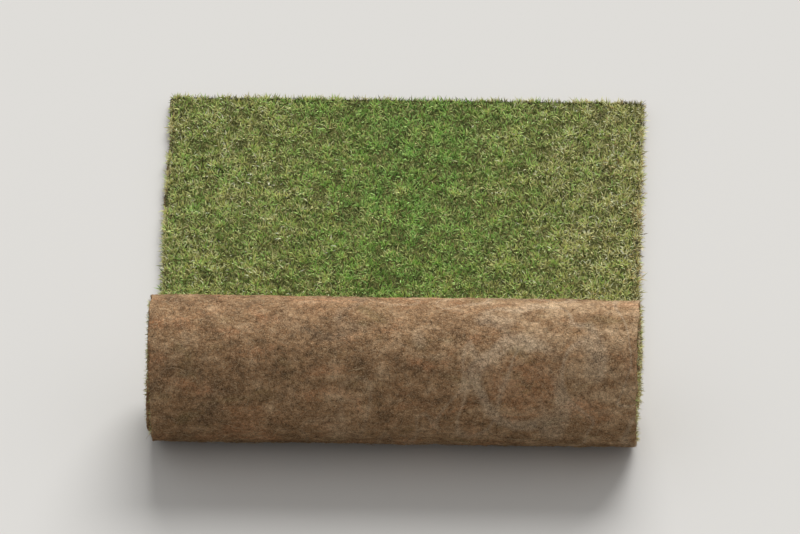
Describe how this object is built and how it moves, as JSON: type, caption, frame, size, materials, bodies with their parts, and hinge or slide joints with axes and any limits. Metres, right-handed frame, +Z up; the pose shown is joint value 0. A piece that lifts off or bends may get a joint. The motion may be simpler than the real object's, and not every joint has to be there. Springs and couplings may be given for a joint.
{
  "type": "roll of turf",
  "caption": "Roll of cut turf wound soil side out on a round bore, with the first stretch of its strip laid flat, grass up, behind it.",
  "frame": {"origin": "on the ground, under the middle of the coil and its laid stretch", "axes": "+X along the coil's axis, +Y from the coil along the laid stretch, +Z up"},
  "size_m": [1.2, 1.4318, 0.364],
  "materials": {
    "soil": "matte",
    "grass": "matte",
    "roots": "matte"
  },
  "bodies": {
    "root": {"turf_roll": "soil"}
  },
  "joints": []
}
